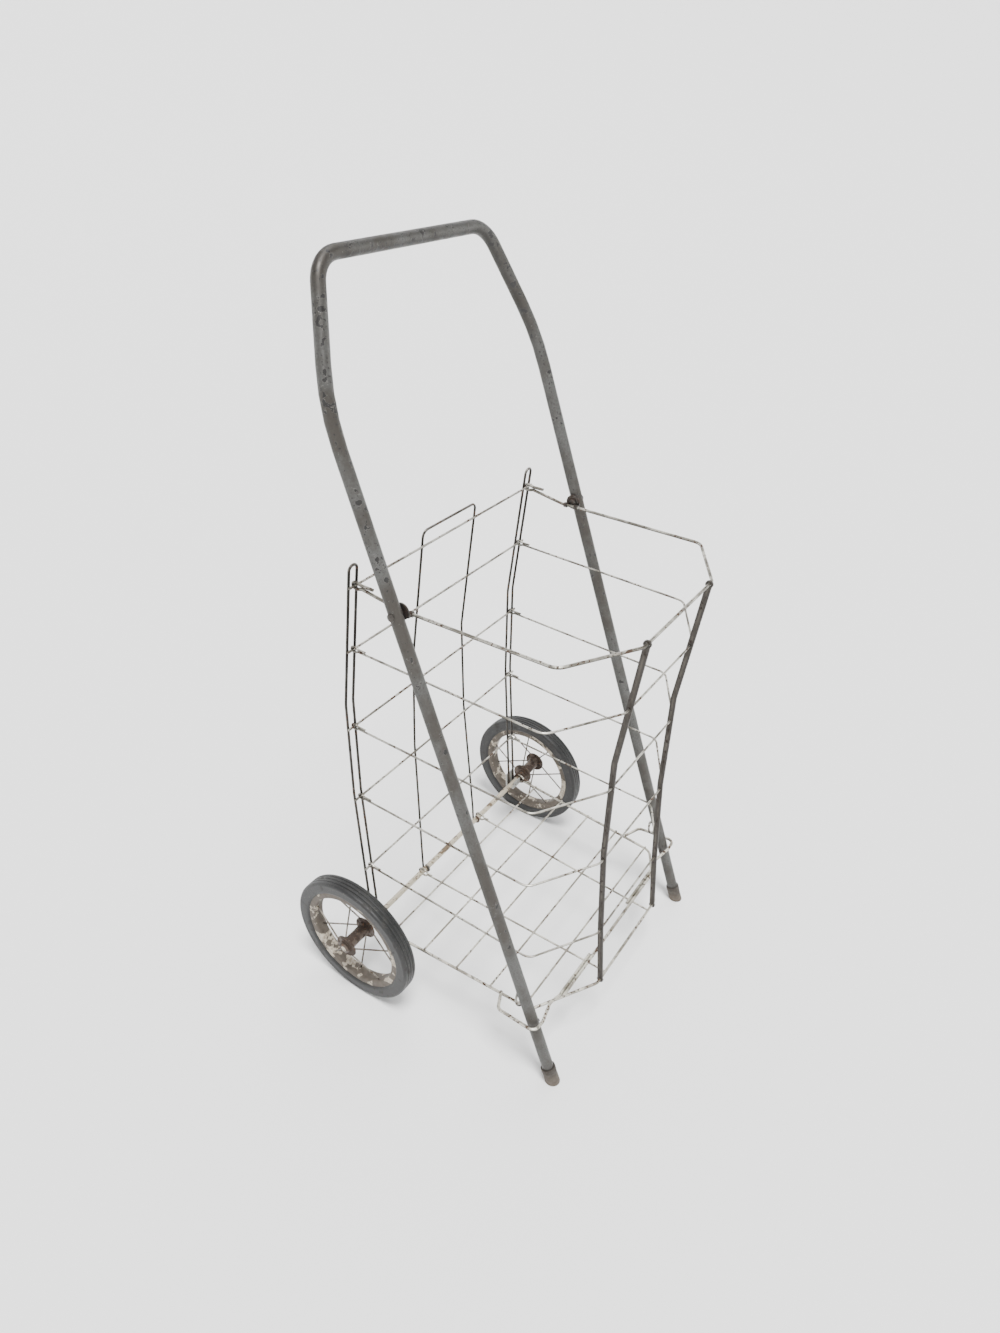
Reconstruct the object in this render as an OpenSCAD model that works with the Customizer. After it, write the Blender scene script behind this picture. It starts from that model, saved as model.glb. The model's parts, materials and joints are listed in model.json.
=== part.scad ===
// Folding wire shopping trolley: a bent tube handle frame, a wire basket of
// hinged rings, a folding wire bottom and two spoked wheels on one axle.
// Millimetres. X is across, the front is -Y, Z is up, the ground is z = 0.
// Inside the modules y is measured from the axle; place() moves it to the frame.

/* [Handle frame] */
// top of the handle bar above the ground
handle_height = 985; // [900:5:1100]
// outer diameter of the handle tube
tube_d = 16; // [12:0.5:25]
// wall of the handle tube
tube_wall = 1.2; // [0.8:0.1:2.5]
// free space between the side of the top ring and a leg
leg_space = 6; // [5.5:0.1:15]
// half of the handle bar between its two corners
bar_half = 141; // [100:1:250]
// from the top of the bar down to where the legs begin to close
taper_drop = 136; // [100:1:200]
// inner bend radius of the tube at the bar corners, axis line
corner_r = 38; // [20:1:50]
// bend radius of the tube where the legs close in, axis line
taper_r = 225; // [80:5:300]
// how far the feet stand in front of the axle, on the ground
foot_reach = 312; // [250:1:380]

/* [Feet] */
// outer diameter of the rubber foot
cap_d = 20; // [17:0.5:28]
// length of the rubber foot along the leg
cap_len = 25; // [15:1:45]
// rubber under the end of the tube, along the leg
cap_floor = 9; // [7:0.5:14]

/* [Basket] */
// half of the width of the rings at their rear eyes, wire axis to middle
ring_half = 177; // [140:1:230]
// how much narrower, each side, the rings are where a side turns inwards
ring_taper = 2.5; // [0:0.1:8]
// from the rear hinge to the front wire of every ring
ring_reach = 314; // [250:1:380]
// from the rear hinge to the bend where a side turns inwards
bend_reach = 262; // [200:1:330]
// half of the straight front of every ring
front_half = 80; // [50:1:120]
// how much lower the front of a ring is than its hinge
ring_drop = 10; // [0:1:20]
// bend radius of the ring corners
ring_bend = 16; // [8:1:30]
// height of the top ring hinge
ring_1_z = 646; // [560:1:700]
// height of the second ring hinge
ring_2_z = 557; // [480:1:620]
// height of the third ring hinge
ring_3_z = 438; // [360:1:500]
// height of the fourth ring hinge
ring_4_z = 321; // [260:1:380]
// height of the fifth ring hinge
ring_5_z = 196; // [160:1:240]
// wire of the top ring
top_wire_d = 4; // [3:0.1:6]
// wire of the lower rings
ring_wire_d = 2.8; // [2:0.1:4]
// length of the tail that is doubled back after each eye of the thin wires
tail_len = 18; // [12:1:30]
// length of the same tail on the heavy wires
heavy_tail_len = 26; // [18:1:40]

/* [Rear frame] */
// how far the middle of a post stands outside the ring eye
post_shift = 1.5; // [-2:0.1:2]
// wire of the twin posts
post_wire_d = 3.6; // [2.5:0.1:5]
// distance between the two wires of a post, axis to axis
post_gap = 13; // [11:0.5:18]
// height of the loop that closes a post
post_top = 674; // [650:1:720]
// wire of the back hoop
hoop_wire_d = 3.2; // [2.4:0.1:5]
// half of the hoop at its top
hoop_top_half = 54; // [40:1:90]
// half of the hoop at the axle
hoop_foot_half = 66; // [50:1:100]
// top of the hoop, wire axis
hoop_top = 665; // [640:1:700]
// bend radius of the hoop corners
hoop_bend = 9; // [5:1:20]
// wire of the level back wires
back_wire_d = 3; // [2:0.1:4]
// height at which the back turns upright
belly_low_z = 330; // [300:1:400]
// height at which the back starts to lean forward
belly_high_z = 475; // [440:1:500]
// how far the upright part of the posts stands behind the line of the axle
belly_y = 19.6; // [8:0.1:30]
// forward lean of the back above that, in degrees
lean_top = 7; // [0:0.1:12]
// bend radius of the posts and the hoop at those two heights
back_bend = 60; // [30:5:100]

/* [Axle and wheels] */
// wheel outer diameter
wheel_d = 200; // [180:5:260]
// tyre width
tyre_w = 24; // [18:1:35]
// rubber from the tread to the rim seat
tyre_h = 19; // [14:1:26]
// how far the shoulders of the tread are cut off
shoulder = 4; // [2:0.5:6]
// depth of the three grooves in the tread
groove = 1.2; // [0.5:0.1:2]
// rim from its seat to its inner edge
rim_h = 10; // [7:0.5:14]
// metal of the rim
rim_t = 1.6; // [1:0.1:3]
// length of the collar between the bottom frame and the wheel
collar_len = 8; // [4:0.5:20]
// axle diameter
axle_d = 8; // [6:0.5:12]
// length of the cap on the end of the axle
nut_len = 2.5; // [2:0.5:8]
// hub barrel diameter
barrel_d = 20; // [16:1:30]
// hub flange diameter
flange_d = 34; // [26:1:45]
// hub flange thickness
flange_t = 2.4; // [1.5:0.1:4]
// hub length
hub_len = 46; // [36:1:60]
// spoke wire
spoke_d = 2.2; // [1.6:0.1:3.5]
// spokes in one wheel
spoke_count = 10; // [8:2:20]

/* [Bottom] */
// wire of the bottom frame
frame_wire_d = 4; // [3:0.1:6]
// free space between an axle clip and the bottom frame
frame_space = 1.2; // [0.8:0.1:5]
// how far the front bends of the bottom frame stand outside those of the rings
frame_flare = 1.5; // [-2:0.1:8]
// wire of the bottom grid
grid_wire_d = 2.8; // [2:0.1:4]
// half of the distance between the two long grid wires at the axle
long_half = 75; // [50:1:120]
// half of the distance between them at the front
long_front = 66; // [40:1:120]
// first cross wire in front of the axle
cross_first = 38; // [25:1:60]
// pitch of the cross wires
cross_pitch = 54; // [40:1:70]
// wire of the leg guide
guide_wire_d = 4.5; // [3:0.1:6]
// bend radius of the leg guide corners
guide_bend = 9; // [6:1:16]
// from the axle to the crossbar
bar_reach = 288; // [260:1:300]
// rear end of the slot that the leg slides in, from the axle
slot_rear = 219; // [190:1:250]

/* [Front strips] */
// width of the flat strips, front to back
strip_w = 7.5; // [6:0.5:12]
// thickness of the flat strips
strip_t = 2.5; // [1.5:0.1:4]

/* [Pivots and fittings] */
// rivet that joins a leg to the top ring
rivet_d = 6; // [4:0.5:8]
// diameter of the rivet heads
rivet_head_d = 10; // [8:0.5:14]
// diameter of the pivot clip plate
clip_d = 20; // [18:0.5:28]
// sheet metal of the clips
clip_t = 2; // [1.2:0.1:3]
// wire of the coil behind each leg
coil_wire_d = 2.2; // [1.6:0.1:3]
// diameter of the coil, wire axis
coil_d = 19; // [14:0.5:24]
// height of the coil above the axle
coil_rise = 30; // [24:1:60]
// how far the stud on the inside of each leg is below the axle
stud_drop = 8; // [6:1:20]
// gap in a loose eye or hole, all round
eye_gap = 0.35; // [0.2:0.05:0.8]
// gap of a turning fit, all round
run_gap = 0.06; // [0.03:0.01:0.1]
// how far crossing wires sink into each other at a weld
weld = 0.15; // [0.05:0.05:0.3]
// how far pieces laid along each other sink in
lay = 0.03; // [0.01:0.01:0.05]
// side play between pieces that turn past each other
side_gap = 0.5; // [0.3:0.1:1]

/* [Hidden] */
$fn = 48;
tube_r = tube_d / 2;
top_r = top_wire_d / 2;
wire_r = ring_wire_d / 2;
post_r = post_wire_d / 2;
hoop_r = hoop_wire_d / 2;
back_r = back_wire_d / 2;
axle_r = axle_d / 2;
frame_r = frame_wire_d / 2;
grid_r = grid_wire_d / 2;
guide_r = guide_wire_d / 2;
coil_r = coil_wire_d / 2;
wheel_r = wheel_d / 2;
axle_z = wheel_r;
coil_z = axle_z + coil_rise;
stud_z = axle_z - stud_drop;
taper_z = handle_height - taper_drop;

// the back: the posts stand against the rear of the axle, the level wires lie
// in front of the posts and of the hoop
post_foot_y = axle_r + post_r - weld;
lean_low = (belly_y - post_foot_y) / (belly_low_z - axle_z);
function post_y(z) = z < belly_low_z
    ? post_foot_y + (z - axle_z) * lean_low
    : belly_y - max(0, z - belly_high_z) * tan(lean_top);
back_step = back_r + post_r - weld;
function back_y(z) = post_y(z) - back_step;
hoop_step = back_r + hoop_r - weld;
function hoop_y(z) = back_y(z) + hoop_step;
function hoop_x(z) = hoop_foot_half
    - (hoop_foot_half - hoop_top_half) * (z - axle_z) / (belly_high_z - axle_z);

// ring hinges as [y, z], top to bottom, and the holes of the front strips
ring_z = [ring_1_z, ring_2_z, ring_3_z, ring_4_z, ring_5_z];
function hinge(i) = [back_y(ring_z[i]), ring_z[i]];
link = [-ring_reach, -ring_drop];
function front_hole(i) = hinge(i) + link;
frame_hole = [0, axle_z] + link;
function ring_x(reach) = ring_half - reach * (ring_half - ring_bend_half) / bend_reach;

// the leg: a straight line in the side view through the pivot and the foot
pivot_z = ring_1_z - 6;
pivot_reach = 76;
leg_slope = (foot_reach - pivot_reach) / pivot_z;
leg_lean = atan(leg_slope);
function leg_y(z) = -foot_reach + z * leg_slope;
bar_z = handle_height - tube_r;
front_end = foot_reach + cap_d / 2 / cos(leg_lean);
axle_y = (front_end + wheel_r) / 2 - wheel_r;

// side places, from the middle plane outwards
ring_bend_half = ring_half - ring_taper;
post_half = ring_half + post_shift;
clip_width = post_gap + post_wire_d + 4;
frame_half = post_half + clip_width / 2 + frame_space + frame_r;
frame_bend_half = ring_bend_half + frame_flare;
wheel_half = frame_half + frame_r + 2 * side_gap + collar_len + hub_len / 2;
axle_half = wheel_half + hub_len / 2 + side_gap + nut_len;
leg_half = ring_half + top_r + leg_space + tube_r;
rivet_in = leg_half - tube_r - 5.5;
plate_in = rivet_in + 2;
sleeve_len = (clip_d - rivet_head_d) / 2 - 0.6;
top_front_z = ring_1_z - ring_drop;
hub_in = wheel_half - hub_len / 2;
hub_out = wheel_half + hub_len / 2;
flange_r = flange_d / 2;
seat_r = wheel_r - tyre_h;
rim_in = seat_r - rim_h;
tube_end = cap_floor + tube_r * leg_slope;

// height and half width of the bottom frame wire at a distance from the axle
frame_start = axle_r + eye_gap + 4 * frame_r;
frame_start_z = axle_z - frame_r - 0.12;
frame_fall = (frame_start_z - frame_hole[1]) / (ring_reach - frame_start);
frame_taper = (frame_half - frame_bend_half) / (bend_reach - frame_start);
function frame_z(reach) = frame_start_z - (reach - frame_start) * frame_fall;
function frame_x(reach) = frame_half - (reach - frame_start) * frame_taper;
function cross_z(reach) = frame_z(reach) + frame_r + grid_r - weld;
guide_z = frame_z(bar_reach) + frame_r + guide_r - weld;

function unit(v) = v / norm(v);
function flat_turn(u, v) = acos(max(-1, min(1, u * v)));
function across(w) = abs(w[2]) < 0.9 ? unit(cross([0, 0, 1], w)) : unit(cross([1, 0, 0], w));
function basis(x, y, z, o) = [
    [x[0], y[0], z[0], o[0]],
    [x[1], y[1], z[1], o[1]],
    [x[2], y[2], z[2], o[2]],
    [0, 0, 0, 1]];
function mirrored(points) = [for (i = [len(points) - 1:-1:0])
    [-points[i][0], points[i][1], points[i][2]]];
function reversed(list) = [for (i = [len(list) - 1:-1:0]) list[i]];

// moves a piece drawn from the axle line into the frame
module place() {
    translate([0, axle_y, 0])
        children();
}

// straight round bar between two points
module bar(a, b, d) {
    w = unit(b - a);
    x = across(w);
    multmatrix(basis(x, cross(w, x), w, a))
        cylinder(h = norm(b - a), d = d);
}

// the turn of a round bar at p, between the runs from p0 and to p1
module elbow(p0, p, p1, d, r) {
    u = unit(p - p0);
    v = unit(p1 - p);
    inward = unit(v - (v * u) * u);
    angle = flat_turn(u, v);
    start = p - u * r * tan(angle / 2);
    multmatrix(basis(-inward, u, cross(-inward, u), start + r * inward))
        rotate_extrude(angle = angle)
            translate([r, 0])
                circle(d = d);
}

// bent round bar along points; radii holds the bend radius of each inner point;
// a hair-thin band carries each straight into its bend
module bent_bar(points, radii, d) {
    last = len(points) - 1;
    turns = [for (i = [0:last]) i == 0 || i == last ? 0 :
        radii[i - 1] * tan(flat_turn(unit(points[i] - points[i - 1]),
            unit(points[i + 1] - points[i])) / 2)];
    for (i = [0:last - 1]) {
        w = unit(points[i + 1] - points[i]);
        from = points[i] + w * turns[i];
        to = points[i + 1] - w * turns[i + 1];
        straight = (to - from) * w;
        if (straight > 0.001)
            bar(from, to, d);
        if (straight < 0.8 && turns[i] > 0 && turns[i + 1] > 0)
            bar(from - 0.2 * w, to + 0.2 * w, d + 0.08);
        else {
            if (turns[i] > 0)
                bar(from - 0.2 * w, from + 0.2 * w, d + 0.08);
            if (turns[i + 1] > 0)
                bar(to - 0.2 * w, to + 0.2 * w, d + 0.08);
        }
    }
    for (i = [1:last - 1])
        elbow(points[i - 1], points[i], points[i + 1], d, radii[i - 1]);
}

// side view points [y, z] of an eye round a pin at the origin, tail first
function eye_points(r, w, tail) = [
    [-tail, w + 0.12],
    [-r - 3 * w, w + 0.12],
    [-r, r],
    [r, r],
    [r, -r],
    [-r, -r],
    [-r - 3 * w, -w - 0.12]];
function eye_radii(r) = [r, r, r, r, r, r];

// points of one ring: an eye at each hinge, two sides and the clipped front
function ring_side(at, w, eye_r, half, tail) = [for (q = eye_points(eye_r, w, tail))
    [half, at[0] + q[0], at[1] + q[1]]];
module ring(i, d) {
    w = d / 2;
    eye_r = back_r + eye_gap + w;
    at = hinge(i);
    z_bend = at[1] - ring_drop * bend_reach / ring_reach;
    side = concat(ring_side(at, w, eye_r, ring_half, tail_len), [
        [ring_bend_half, at[0] - bend_reach, z_bend],
        [front_half + 8, at[0] - ring_reach, at[1] - ring_drop]]);
    radii = concat(eye_radii(eye_r), [ring_bend, ring_bend]);
    place()
        bent_bar(concat(side, mirrored(side)), concat(radii, reversed(radii)), d);
}

// ---- handle frame ----

// one tube bent into a long U: bar, two closing runs and two straight legs
module handle_tube() {
    color([0.40, 0.40, 0.39])
        place()
            difference() {
                tube_run(tube_d, tube_end);
                tube_run(tube_d - 2 * tube_wall, tube_end - 1);
                translate([-leg_half - tube_r - 1, leg_y(pivot_z), pivot_z])
                    rotate([0, 90, 0])
                        cylinder(h = 2 * leg_half + tube_d + 2, d = rivet_d + 0.04);
            }
}

module tube_run(d, from) {
    side = [
        [leg_half, leg_y(from * cos(leg_lean)), from * cos(leg_lean)],
        [leg_half, leg_y(taper_z), taper_z],
        [bar_half, leg_y(bar_z), bar_z]];
    bent_bar(concat(side, mirrored(side)), [taper_r, corner_r, corner_r, taper_r], d);
}

module foot_cap_left() { foot_cap(-1); }
module foot_cap_right() { foot_cap(1); }

// rubber foot: a cup on the leg, cut level where it stands
module foot_cap(side) {
    color([0.10, 0.09, 0.08])
        place()
            difference() {
                leg_frame(side)
                    translate([0, 0, -cap_d])
                        cylinder(h = cap_d + cap_len, d = cap_d);
                leg_frame(side)
                    translate([0, 0, tube_end - 0.05])
                        cylinder(h = cap_len, d = tube_d + 0.1);
                translate([side * leg_half - cap_d, -foot_reach - 2 * cap_d, -2 * cap_d])
                    cube([2 * cap_d, 4 * cap_d, 2 * cap_d]);
            }
}

// z runs up the leg from the point where its axis meets the ground
module leg_frame(side) {
    translate([side * leg_half, -foot_reach, 0])
        rotate([-leg_lean, 0, 0])
            children();
}

module pivot_rivet_left() { pivot_rivet(-1); }
module pivot_rivet_right() { pivot_rivet(1); }

// rivet through the leg and the clip of the top ring, a head at each end
module pivot_rivet(side) {
    out = leg_half + tube_r + 0.1;
    color([0.30, 0.27, 0.24])
        place()
            translate([0, leg_y(pivot_z), pivot_z])
                rotate([0, side * 90, 0]) {
                    translate([0, 0, rivet_in])
                        cylinder(h = out + 1 - rivet_in, d = rivet_d);
                    translate([0, 0, rivet_in])
                        cylinder(h = 1.5, d = rivet_head_d);
                    translate([0, 0, out])
                        cylinder(h = 2.2, d = rivet_head_d);
                }
}

module latch_coil_left() { latch_coil(-1); }
module latch_coil_right() { latch_coil(1); }

// two close turns of spring wire behind the leg, held by a short arm
module latch_coil(side) {
    turn_r = coil_d / 2;
    high = coil_z / cos(leg_lean);
    start = tube_r + coil_r + 0.3;
    color([0.72, 0.71, 0.67])
        place()
            leg_frame(side)
                translate([-side * 2, 0, high]) {
                    for (k = [0, 1])
                        translate([0, start + k * coil_wire_d, 0])
                            rotate([90, 0, 0])
                                rotate_extrude()
                                    translate([turn_r, 0])
                                        circle(r = coil_r + 0.05);
                    bar([0, tube_r - 0.25, turn_r], [0, start + coil_wire_d, turn_r], coil_wire_d);
                }
}

module leg_stud_left() { leg_stud(-1); }
module leg_stud_right() { leg_stud(1); }

// small headed stud on the inside of each leg, just under the leg guide
module leg_stud(side) {
    color([0.14, 0.12, 0.10])
        place()
            translate([side * leg_half, leg_y(stud_z), stud_z])
                rotate([0, -side * 90, 0]) {
                    translate([0, 0, tube_r - 0.01])
                        cylinder(h = 1.3, d = 4);
                    translate([0, 0, tube_r + 0.8])
                        cylinder(h = 1.6, d = 6.5);
                }
}

// ---- rear frame ----

module post_left() { post(-1); }
module post_right() { post(1); }

// one wire doubled over into a twin post, closed by a loop at the top
module post(side) {
    foot = axle_z - axle_r + lay;
    top = post_top - post_r;
    x0 = side * post_half - post_gap / 2;
    x1 = x0 + post_gap;
    up = [
        [x0, post_y(foot), foot],
        [x0, belly_y, belly_low_z],
        [x0, belly_y, belly_high_z],
        [x0, post_y(top), top]];
    down = [for (q = reversed(up)) [x1, q[1], q[2]]];
    radii = [back_bend, back_bend, post_gap / 2];
    color([0.36, 0.34, 0.31])
        place()
            bent_bar(concat(up, down), concat(radii, reversed(radii)), post_wire_d);
}

// level wire welded across the front of both posts and of the hoop
module back_wire(i) {
    reach = post_half + post_gap / 2 + post_r + 1;
    color([0.62, 0.61, 0.58])
        place()
            bar([-reach, hinge(i)[0], ring_z[i]], [reach, hinge(i)[0], ring_z[i]], back_wire_d);
}
module back_wire_1() { back_wire(0); }
module back_wire_2() { back_wire(1); }
module back_wire_3() { back_wire(2); }
module back_wire_4() { back_wire(3); }
module back_wire_5() { back_wire(4); }

// tall hoop in the middle of the back, each end curled round the axle
module back_hoop() {
    wrap = axle_r + hoop_r + 0.1;
    start = axle_z + 4 * wrap;
    side = [
        [hoop_foot_half, 1, axle_z + wrap],
        [hoop_foot_half, -wrap, axle_z + wrap],
        [hoop_foot_half, -wrap, axle_z - wrap],
        [hoop_foot_half, wrap, axle_z - wrap],
        [hoop_foot_half, hoop_y(start), start],
        [hoop_x(belly_low_z), hoop_y(belly_low_z), belly_low_z],
        [hoop_top_half, hoop_y(belly_high_z), belly_high_z],
        [hoop_top_half, hoop_y(hoop_top), hoop_top]];
    radii = [wrap, wrap, wrap, 30, back_bend, back_bend, hoop_bend];
    color([0.36, 0.34, 0.31])
        place()
            bent_bar(concat(side, mirrored(side)), concat(radii, reversed(radii)), hoop_wire_d);
}

module axle() {
    color([0.80, 0.76, 0.68])
        place()
            bar([-axle_half, 0, axle_z], [axle_half, 0, axle_z], axle_d);
}

module axle_clip_left() { axle_clip(-1); }
module axle_clip_right() { axle_clip(1); }

// folded sheet trough that ties the feet of a post to the axle; its rear plate
// leans with the post
module axle_clip(side) {
    low = axle_z - axle_r + lay;
    high = low + 22;
    lip = -axle_r + lay;
    back = post_r / cos(atan(lean_low)) - lay;
    color([0.70, 0.69, 0.66])
        place()
            translate([side * post_half - clip_width / 2, 0, 0])
                rotate([90, 0, 90])
                    linear_extrude(clip_width)
                        polygon([
                            [lip - clip_t, low - clip_t],
                            [post_y(low) + back + clip_t, low - clip_t],
                            [post_y(high) + back + clip_t, high],
                            [post_y(high) + back, high],
                            [post_y(low) + back, low],
                            [lip, low],
                            [lip, low + 9],
                            [lip - clip_t, low + 9]]);
}

module axle_collar_left() { axle_collar(-1); }
module axle_collar_right() { axle_collar(1); }

// ring on the axle between the bottom frame and the wheel
module axle_collar(side) {
    inner = frame_half + frame_r + side_gap;
    color([0.45, 0.42, 0.38])
        axle_ring(side, inner, collar_len, 16);
}

module axle_nut_left() { axle_nut(-1); }
module axle_nut_right() { axle_nut(1); }

// push-on cap that keeps the wheel on the axle
module axle_nut(side) {
    start = hub_out + side_gap;
    color([0.20, 0.17, 0.14])
        axle_ring(side, start, nut_len, 17);
}

module axle_ring(side, start, length, d) {
    place()
        translate([side * start, 0, axle_z])
            rotate([0, side * 90, 0])
                difference() {
                    cylinder(h = length, d = d);
                    translate([0, 0, -1])
                        cylinder(h = length + 2, d = axle_d);
                }
}

// ---- rings ----

// top ring: heavier wire that falls from its eyes to the leg pivots and runs
// level from there to the front
module top_ring() {
    eye_r = back_r + eye_gap + top_r;
    at = hinge(0);
    level_y = leg_y(pivot_z) + 14;
    side = concat(ring_side(at, top_r, eye_r, ring_half, heavy_tail_len), [
        [ring_x(at[0] - level_y), level_y, top_front_z],
        [ring_bend_half, at[0] - bend_reach, top_front_z],
        [front_half + 8, at[0] - ring_reach, top_front_z]]);
    radii = concat(eye_radii(eye_r), [20, ring_bend, ring_bend]);
    color([0.86, 0.85, 0.81])
        place()
            bent_bar(concat(side, mirrored(side)), concat(radii, reversed(radii)), top_wire_d);
}

module ring_2() { color([0.80, 0.79, 0.75]) ring(1, ring_wire_d); }
module ring_3() { color([0.80, 0.79, 0.75]) ring(2, ring_wire_d); }
module ring_4() { color([0.80, 0.79, 0.75]) ring(3, ring_wire_d); }
module ring_5() { color([0.80, 0.79, 0.75]) ring(4, ring_wire_d); }

module pivot_clip_left() { pivot_clip(-1); }
module pivot_clip_right() { pivot_clip(1); }

// round sheet plate bored for the rivet, held on the top ring by two sleeves
module pivot_clip(side) {
    y0 = leg_y(pivot_z);
    pivot_at = hinge(0)[0] - y0;
    wire_x = ring_x(pivot_at);
    color([0.30, 0.28, 0.26])
        place()
            difference() {
                union() {
                    translate([0, y0, pivot_z])
                        rotate([0, side * 90, 0])
                            translate([0, 0, plate_in])
                                cylinder(h = clip_t, d = clip_d);
                    clip_sleeve(side, wire_x, y0 + clip_d / 2 - sleeve_len);
                    clip_sleeve(side, wire_x, y0 - clip_d / 2);
                }
                translate([0, y0, pivot_z])
                    rotate([0, side * 90, 0])
                        translate([0, 0, rivet_in - 5])
                            cylinder(h = 20, d = rivet_d + 2 * run_gap);
                bar([side * ring_x(pivot_at + clip_d), y0 - clip_d, top_front_z],
                    [side * ring_x(pivot_at - clip_d), y0 + clip_d, top_front_z],
                    top_wire_d - 0.006);
            }
}

// sleeve on the wire, joined to the plate
module clip_sleeve(side, wire_x, y) {
    reach = plate_in + clip_t - wire_x;
    translate([side * wire_x, y, top_front_z])
        rotate([-90, 0, 0])
            cylinder(h = sleeve_len, r = top_r + 1.4);
    translate([side * wire_x + min(0, side * reach), y, top_front_z - top_r + 0.3])
        cube([reach, sleeve_len, top_wire_d - 0.6]);
}

// ---- front strips ----

module front_strip_left() { front_strip(-1); }
module front_strip_right() { front_strip(1); }

// flat strip with an eye on the top ring and on the bottom frame, and a drilled
// hole for each ring between them; it is bent where the posts are
module front_strip(side) {
    high = [back_y(belly_high_z), belly_high_z] + link;
    low = [back_y(belly_low_z), belly_low_z] + link;
    line = [front_hole(0), high, low, front_hole(4), frame_hole];
    half = strip_w / 2;
    color([0.24, 0.22, 0.20])
        place()
            translate([side * front_half - strip_t / 2, 0, 0])
                rotate([90, 0, 90])
                    linear_extrude(strip_t)
                        difference() {
                            union() {
                                polygon(concat(
                                    [for (q = line) q + [-half, 0]],
                                    [for (q = reversed(line)) q + [half, 0]]));
                                translate(front_hole(0))
                                    circle(r = top_r + eye_gap + 2.4);
                                translate(frame_hole)
                                    circle(r = frame_r + eye_gap + 2.2);
                            }
                            translate(front_hole(0))
                                circle(r = top_r + eye_gap);
                            for (i = [1:4])
                                translate(front_hole(i))
                                    circle(r = wire_r + eye_gap);
                            translate(frame_hole)
                                circle(r = frame_r + eye_gap);
                        }
}

// ---- bottom ----

// wire frame of the bottom, with eyes on the axle outside the posts
module bottom_frame() {
    eye_r = axle_r + eye_gap + frame_r;
    at = [0, axle_z];
    side = concat(ring_side(at, frame_r, eye_r, frame_half, heavy_tail_len), [
        [frame_bend_half, -bend_reach, frame_z(bend_reach)],
        [front_half + 8, frame_hole[0], frame_hole[1]]]);
    radii = concat(eye_radii(eye_r), [ring_bend, ring_bend]);
    color([0.80, 0.78, 0.73])
        place()
            bent_bar(concat(side, mirrored(side)), concat(radii, reversed(radii)), frame_wire_d);
}

module bottom_wire_left() { bottom_wire(-1); }
module bottom_wire_right() { bottom_wire(1); }

// long grid wire from an eye on the axle to the front of the bottom frame
module bottom_wire(side) {
    eye_r = axle_r + eye_gap + grid_r;
    end_y = -ring_reach + frame_r - weld;
    end_z = cross_z(ring_reach) - grid_wire_d + weld;
    points = concat(
        [for (q = eye_points(eye_r, grid_r, tail_len)) [side * long_half, q[0], axle_z + q[1]]],
        [[side * long_front, end_y, end_z]]);
    color([0.74, 0.73, 0.69])
        place()
            bent_bar(points, eye_radii(eye_r), grid_wire_d);
}

module cross_wire_1() { cross_wire(0); }
module cross_wire_2() { cross_wire(1); }
module cross_wire_3() { cross_wire(2); }
module cross_wire_4() { cross_wire(3); }
module cross_wire_5() { cross_wire(4); }

// cross wire of the bottom, welded on top of the frame
module cross_wire(i) {
    reach = cross_first + i * cross_pitch;
    x = frame_x(reach);
    color([0.84, 0.83, 0.79])
        place()
            bar([-x, -reach, cross_z(reach)], [x, -reach, cross_z(reach)], grid_wire_d);
}

// straight wire across the front of the bottom, welded on its clipped corners
module crossbar() {
    end = front_half + 8 + (ring_reach - bar_reach) * (frame_bend_half - front_half - 8)
        / (ring_reach - bend_reach) + 4;
    color([0.86, 0.84, 0.79])
        place()
            bar([-end, -bar_reach, guide_z], [end, -bar_reach, guide_z], guide_wire_d);
}

module leg_guide_left() { leg_guide(-1); }
module leg_guide_right() { leg_guide(1); }

// wire laid along the crossbar, then out round the front of a leg and back to
// the side of the bottom frame: the leg slides in the slot this closes
module leg_guide(side) {
    tail_y = -bar_reach + guide_wire_d - lay;
    front_y = leg_y(axle_z + 4) - tube_r / cos(leg_lean) - guide_r - 3.5;
    outer = leg_half + tube_r + guide_r + 3.5;
    knee = frame_x(slot_rear - 2);
    points = [
        [side * (front_half - 24), tail_y, guide_z],
        [side * (leg_half - 55), tail_y, guide_z],
        [side * (leg_half - 38), tail_y + 4, guide_z + 1],
        [side * (leg_half - 6), front_y, guide_z + 6],
        [side * (outer + 1), front_y, guide_z + 8],
        [side * (outer - 2.2), -slot_rear - 10, guide_z + 4],
        [side * knee, -slot_rear + 2, frame_z(slot_rear - 2) + frame_r + guide_r - weld]];
    color([0.86, 0.84, 0.79])
        place()
            bent_bar(points, [6, 10, 20, guide_bend, guide_bend], guide_wire_d);
}

// ---- wheels ----

module wheel_place(side) {
    place()
        translate([side * wheel_half, 0, axle_z])
            rotate([0, side * 90, 0])
                children();
}

module tyre_left() { tyre(-1); }
module tyre_right() { tyre(1); }

// solid rubber tyre with cut shoulders and three grooves round its tread
module tyre(side) {
    half = tyre_w / 2;
    slant = 0.3 * shoulder;
    color([0.05, 0.05, 0.05])
        wheel_place(side)
            rotate_extrude()
                difference() {
                    polygon([
                        [seat_r, -half + 1],
                        [wheel_r - shoulder, -half],
                        [wheel_r - slant, -half + slant],
                        [wheel_r, -half + shoulder],
                        [wheel_r, half - shoulder],
                        [wheel_r - slant, half - slant],
                        [wheel_r - shoulder, half],
                        [seat_r, half - 1]]);
                    for (k = [-1, 0, 1])
                        translate([wheel_r - groove, k * 5.2 - 0.8])
                            square([groove + 1, 1.6]);
                }
}

module rim_left() { rim(-1); }
module rim_right() { rim(1); }

// pressed channel rim, open towards the tyre
module rim(side) {
    color([0.35, 0.31, 0.26])
        wheel_place(side)
            rotate_extrude()
                translate([rim_in, -9])
                    difference() {
                        square([rim_h, 18]);
                        translate([rim_t, rim_t])
                            square([rim_h, 18 - 2 * rim_t]);
                    }
}

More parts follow.
